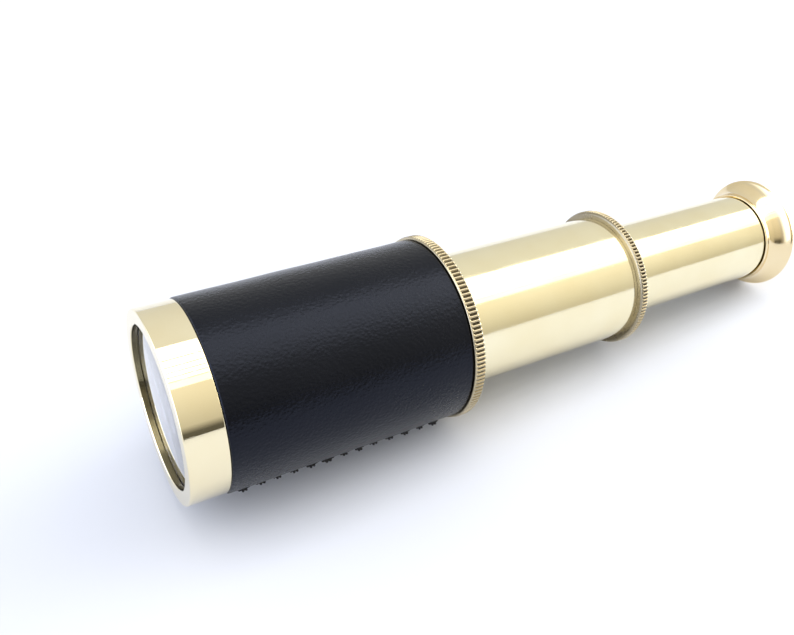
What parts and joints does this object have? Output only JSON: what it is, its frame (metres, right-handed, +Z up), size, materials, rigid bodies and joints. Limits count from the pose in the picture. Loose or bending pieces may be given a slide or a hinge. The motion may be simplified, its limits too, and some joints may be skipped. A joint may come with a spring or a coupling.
{
  "type": "hand telescope",
  "caption": "Pocket telescope: leather-covered brass barrel with a lens cap ring, two telescoping draw tubes with knurled rings, and a flared eyepiece bell.",
  "frame": {"origin": "on the table, under the axis, halfway along the telescope with both draws pulled out", "axes": "+X along the axis towards the eye, the objective at -X; +Z up from the table; +Y to the left of someone looking through it"},
  "size_m": [0.1526, 0.0386, 0.0386],
  "materials": {
    "polished_brass": "polished and lacquered",
    "bell_brass": "polished, a little warmer",
    "plain_brass": "turned, unpolished",
    "blackened_brass": "matte black against stray light",
    "optical_glass": "polished clear glass",
    "black_leather": "fine grain, satin",
    "black_thread": "waxed thread"
  },
  "bodies": {
    "barrel": {"objective_cap": "polished_brass", "objective_lens": "optical_glass", "objective_retaining_ring": "blackened_brass", "barrel_tube": "plain_brass", "leather_sleeve": "black_leather", "seam_stitching": "black_thread", "barrel_rear_ring": "polished_brass"},
    "middle_sleeve": {"middle_friction_sleeve": "plain_brass"},
    "middle_draw": {"middle_draw_tube": "polished_brass", "middle_stop_collar": "plain_brass", "middle_rear_ring": "polished_brass"},
    "eye_sleeve": {"eye_friction_sleeve": "plain_brass"},
    "eye_draw": {"eye_draw_tube": "polished_brass", "eye_stop_collar": "plain_brass", "erector_tube": "blackened_brass", "erector_front_lens": "optical_glass", "erector_rear_lens": "optical_glass", "erector_front_ring": "blackened_brass", "erector_rear_ring": "blackened_brass", "erector_stop": "blackened_brass", "eyepiece_tube": "blackened_brass", "field_lens": "optical_glass", "eye_lens": "optical_glass", "field_lens_ring": "blackened_brass", "eye_lens_ring": "blackened_brass", "eyepiece_bell": "bell_brass"}
  },
  "joints": [
    {"name": "middle_turn", "type": "hinge", "parent": "barrel", "child": "middle_sleeve", "pos_m": [-0.0213, 0, 0.0193], "axis": [1, 0, 0], "continuous": true},
    {"name": "middle_slide", "type": "slide", "parent": "middle_sleeve", "child": "middle_draw", "axis": [-1, 0, 0], "range_m": [0, 0.0427]},
    {"name": "eye_turn", "type": "hinge", "parent": "middle_draw", "child": "eye_sleeve", "pos_m": [0.0227, 0, 0.0193], "axis": [1, 0, 0], "continuous": true},
    {"name": "eye_slide", "type": "slide", "parent": "eye_sleeve", "child": "eye_draw", "axis": [-1, 0, 0], "range_m": [0, 0.0419]}
  ]
}
